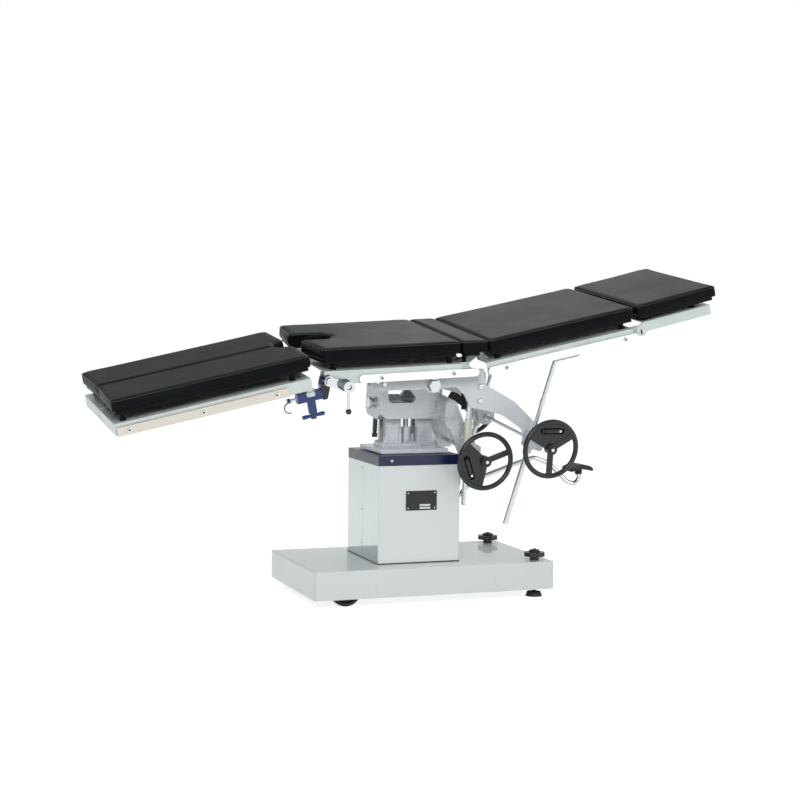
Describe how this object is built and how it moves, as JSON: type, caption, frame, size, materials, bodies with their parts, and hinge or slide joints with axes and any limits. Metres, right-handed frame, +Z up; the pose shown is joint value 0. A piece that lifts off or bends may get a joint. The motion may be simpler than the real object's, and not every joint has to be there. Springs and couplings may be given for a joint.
{
  "type": "operating table",
  "caption": "Surgical table on a lifting column: hinged leg, seat, back and head sections, kidney bridge, side rails, handwheel screw drives, pump pedal and braked base.",
  "frame": {"origin": "floor level on the axis of the lifting column", "axes": "+Z up, +X towards the head end, -Y the near side with the name plate"},
  "size_m": [1.9811, 0.6943, 1.0595],
  "materials": {
    "leather_black": "satin black upholstery",
    "board": "black laminate on plywood",
    "black_paint": "satin",
    "grey_paint": "semi-gloss light grey",
    "blue_paint": "gloss blue",
    "stainless": "brushed",
    "chrome": "polished",
    "steel_dark": "machined",
    "black_plastic": "moulded",
    "rubber": "matt",
    "plate_black": "printed blank"
  },
  "bodies": {
    "base": {"base_cover": "stainless", "base_chassis": "steel_dark", "column_cover": "stainless", "column_side_panels": "stainless", "column_cap": "blue_paint", "nameplate": "plate_black", "panel_screws": "chrome"},
    "column": {"inner_column": "steel_dark", "head_plate": "grey_paint", "fork": "grey_paint", "tilt_pin": "steel_dark"},
    "cradle": {"cradle": "grey_paint", "tilt_buffer": "black_paint", "pitch_axle": "chrome", "pitch_gearboxes": "grey_paint"},
    "pitch_screws": {"pitch_screws": "steel_dark"},
    "pitch_drive": {"pitch_shaft": "steel_dark", "pitch_wheel": "black_plastic"},
    "pitch_grip": {"pitch_grip": "black_plastic"},
    "seat": {"seat_frame": "grey_paint", "side_plates": "grey_paint", "seat_rails": "stainless", "seat_board": "board", "seat_pad": "leather_black", "clamp_body": "chrome"},
    "clamp_lever": {"clamp_lever": "chrome"},
    "kidney": {"kidney_board": "black_paint", "kidney_pad": "leather_black"},
    "back": {"back_frame": "grey_paint", "back_rails": "stainless", "back_board": "board", "back_pad": "leather_black"},
    "back_drive": {"back_shaft": "steel_dark", "back_wheels": "black_plastic"},
    "back_grip_near": {"back_grip_near": "black_plastic"},
    "back_grip_far": {"back_grip_far": "black_plastic"},
    "back_gearboxes": {"back_gearboxes": "grey_paint"},
    "back_screws": {"back_screws": "steel_dark"},
    "head": {"head_frame": "grey_paint", "head_board": "board", "head_pad": "leather_black", "head_lock": "chrome"},
    "pedal": {"pedal_lever": "chrome", "pedal_pad": "rubber"},
    "wheel_near": {"wheel_near": "rubber"},
    "brake_knob_near": {"brake_knob_near": "black_plastic"},
    "brake_foot_near": {"brake_foot_near": "rubber"},
    "leg_lock_near": {"leg_lock_near": "blue_paint"},
    "leg_near": {"leg_frame_near": "stainless", "leg_board_near": "board", "leg_pad_near": "leather_black"},
    "lock_handle_near": {"lock_handle_near": "chrome"},
    "wheel_far": {"wheel_far": "rubber"},
    "brake_knob_far": {"brake_knob_far": "black_plastic"},
    "brake_foot_far": {"brake_foot_far": "rubber"},
    "leg_lock_far": {"leg_lock_far": "blue_paint"},
    "leg_far": {"leg_frame_far": "stainless", "leg_board_far": "board", "leg_pad_far": "leather_black"},
    "lock_handle_far": {"lock_handle_far": "chrome"}
  },
  "joints": [
    {"name": "column_lift", "type": "slide", "parent": "base", "child": "column", "axis": [0, 0, 1], "range_m": [0, 0.25]},
    {"name": "lateral_tilt", "type": "hinge", "parent": "column", "child": "cradle", "pos_m": [0, 0, 0.617], "axis": [1, 0, 0], "range_deg": [-21.9, 8.1]},
    {"name": "seat_pitch", "type": "hinge", "parent": "cradle", "child": "seat", "pos_m": [0.02092, -0.0108, 0.7062], "axis": [0, 0.9928, 0.1201], "range_deg": [-22.2, 27.8]},
    {"name": "pitch_screw_slide", "type": "slide", "parent": "cradle", "child": "pitch_screws", "axis": [0, -0.1201, 0.9928], "range_m": [-0.085, 0.07]},
    {"name": "pitch_handwheel_turn", "type": "hinge", "parent": "cradle", "child": "pitch_drive", "pos_m": [0.192, 0.01754, 0.47206], "axis": [0, 0.9928, 0.1201], "range_deg": [-460, 570]},
    {"name": "back_tilt", "type": "hinge", "parent": "seat", "child": "back", "pos_m": [0.17974, -0.02328, 0.80933], "axis": [0, -0.9928, -0.1201], "range_deg": [-19.4, 65.6], "deforming": ["kidney_pad"]},
    {"name": "back_handwheels_turn", "type": "hinge", "parent": "seat", "child": "back_drive", "pos_m": [0.37318, 0.01095, 0.52651], "axis": [0, -0.9928, -0.1201], "range_deg": [-400, 1320]},
    {"name": "back_gearbox_swing", "type": "hinge", "parent": "seat", "child": "back_gearboxes", "pos_m": [0.37318, 0.01095, 0.52651], "axis": [0, -0.9928, -0.1201], "range_deg": [-6.4, 21]},
    {"name": "back_screw_slide", "type": "slide", "parent": "back_gearboxes", "child": "back_screws", "axis": [0.2487, -0.1164, 0.9616], "range_m": [-0.0785, 0.2655]},
    {"name": "head_tilt", "type": "hinge", "parent": "back", "child": "head", "pos_m": [0.71229, -0.03207, 0.882], "axis": [0, -0.9928, -0.1201], "range_deg": [-90, 7]},
    {"name": "kidney_lift", "type": "slide", "parent": "seat", "child": "kidney", "axis": [-0.0488, -0.12, 0.9916], "range_m": [0, 0.11]},
    {"name": "pitch_grip_fold", "type": "hinge", "parent": "pitch_drive", "child": "pitch_grip", "pos_m": [0.1481, -0.21583, 0.39449], "axis": [0.9397, -0.0411, 0.3395], "range_deg": [0, 90]},
    {"name": "back_grip_near_fold", "type": "hinge", "parent": "back_drive", "child": "back_grip_near", "pos_m": [0.34238, -0.32463, 0.54443], "axis": [-0.0035, 0.1201, -0.9928], "range_deg": [0, 90]},
    {"name": "back_grip_far_fold", "type": "hinge", "parent": "back_drive", "child": "back_grip_far", "pos_m": [0.34238, 0.33257, 0.62396], "axis": [0.0035, -0.1201, 0.9928], "range_deg": [0, 90]},
    {"name": "clamp_lever_turn", "type": "hinge", "parent": "seat", "child": "clamp_lever", "pos_m": [-0.28813, -0.28647, 0.68686], "axis": [0, 0.9928, 0.1201], "range_deg": [-90, 90]},
    {"name": "pedal_press", "type": "hinge", "parent": "base", "child": "pedal", "pos_m": [0.12, 0, 0.304], "axis": [0, 1, 0], "range_deg": [0, 25], "stiffness_Nm_per_rad": 30, "springref_deg": -20.05},
    {"name": "wheel_near_spin", "type": "hinge", "parent": "base", "child": "wheel_near", "pos_m": [-0.259, -0.19, 0.05], "axis": [0, 1, 0], "continuous": true},
    {"name": "brake_knob_near_turn", "type": "hinge", "parent": "base", "child": "brake_knob_near", "pos_m": [0.383, -0.19, 0.14], "axis": [0, 0, 1], "range_deg": [0, 1440]},
    {"name": "brake_foot_near_lift", "type": "slide", "parent": "base", "child": "brake_foot_near", "axis": [0, 0, 1], "range_m": [0, 0.0121]},
    {"name": "leg_near_fold", "type": "hinge", "parent": "seat", "child": "leg_lock_near", "pos_m": [-0.3429, -0.01419, 0.73426], "axis": [0, -0.9928, -0.1201], "range_deg": [-9.7, 70.3]},
    {"name": "leg_near_swing", "type": "hinge", "parent": "leg_lock_near", "child": "leg_near", "pos_m": [-0.39757, -0.22618, 0.6964], "axis": [-0.2164, -0.1173, 0.9692], "range_deg": [0, 90]},
    {"name": "lock_handle_near_turn", "type": "hinge", "parent": "leg_lock_near", "child": "lock_handle_near", "pos_m": [-0.37592, -0.21445, 0.59947], "axis": [-0.2164, -0.1173, 0.9692], "range_deg": [-90, 90]},
    {"name": "wheel_far_spin", "type": "hinge", "parent": "base", "child": "wheel_far", "pos_m": [-0.259, 0.19, 0.05], "axis": [0, 1, 0], "continuous": true},
    {"name": "brake_knob_far_turn", "type": "hinge", "parent": "base", "child": "brake_knob_far", "pos_m": [0.383, 0.19, 0.14], "axis": [0, 0, 1], "range_deg": [0, 1440]},
    {"name": "brake_foot_far_lift", "type": "slide", "parent": "base", "child": "brake_foot_far", "axis": [0, 0, 1], "range_m": [0, 0.0121]},
    {"name": "leg_far_fold", "type": "hinge", "parent": "seat", "child": "leg_lock_far", "pos_m": [-0.3429, -0.01419, 0.73426], "axis": [0, -0.9928, -0.1201], "range_deg": [-9.7, 70.3]},
    {"name": "leg_far_swing", "type": "hinge", "parent": "leg_lock_far", "child": "leg_far", "pos_m": [-0.39757, 0.20071, 0.74806], "axis": [0.2164, 0.1173, -0.9692], "range_deg": [0, 90]},
    {"name": "lock_handle_far_turn", "type": "hinge", "parent": "leg_lock_far", "child": "lock_handle_far", "pos_m": [-0.37592, 0.21244, 0.65113], "axis": [-0.2164, -0.1173, 0.9692], "range_deg": [-90, 90]}
  ],
  "couplings": [
    {"joint": "pitch_screw_slide", "follows": "seat_pitch", "m_per_rad": -0.1624},
    {"joint": "pitch_handwheel_turn", "follows": "seat_pitch", "ratio": 20},
    {"joint": "back_handwheels_turn", "follows": "back_tilt", "ratio": 20},
    {"joint": "back_gearbox_swing", "follows": "back_tilt", "ratio": 0.3177},
    {"joint": "back_screw_slide", "follows": "back_tilt", "m_per_rad": 0.2315},
    {"joint": "brake_foot_near_lift", "follows": "brake_knob_near_turn", "m_per_rad": 0.00048},
    {"joint": "brake_foot_far_lift", "follows": "brake_knob_far_turn", "m_per_rad": 0.00048}
  ]
}
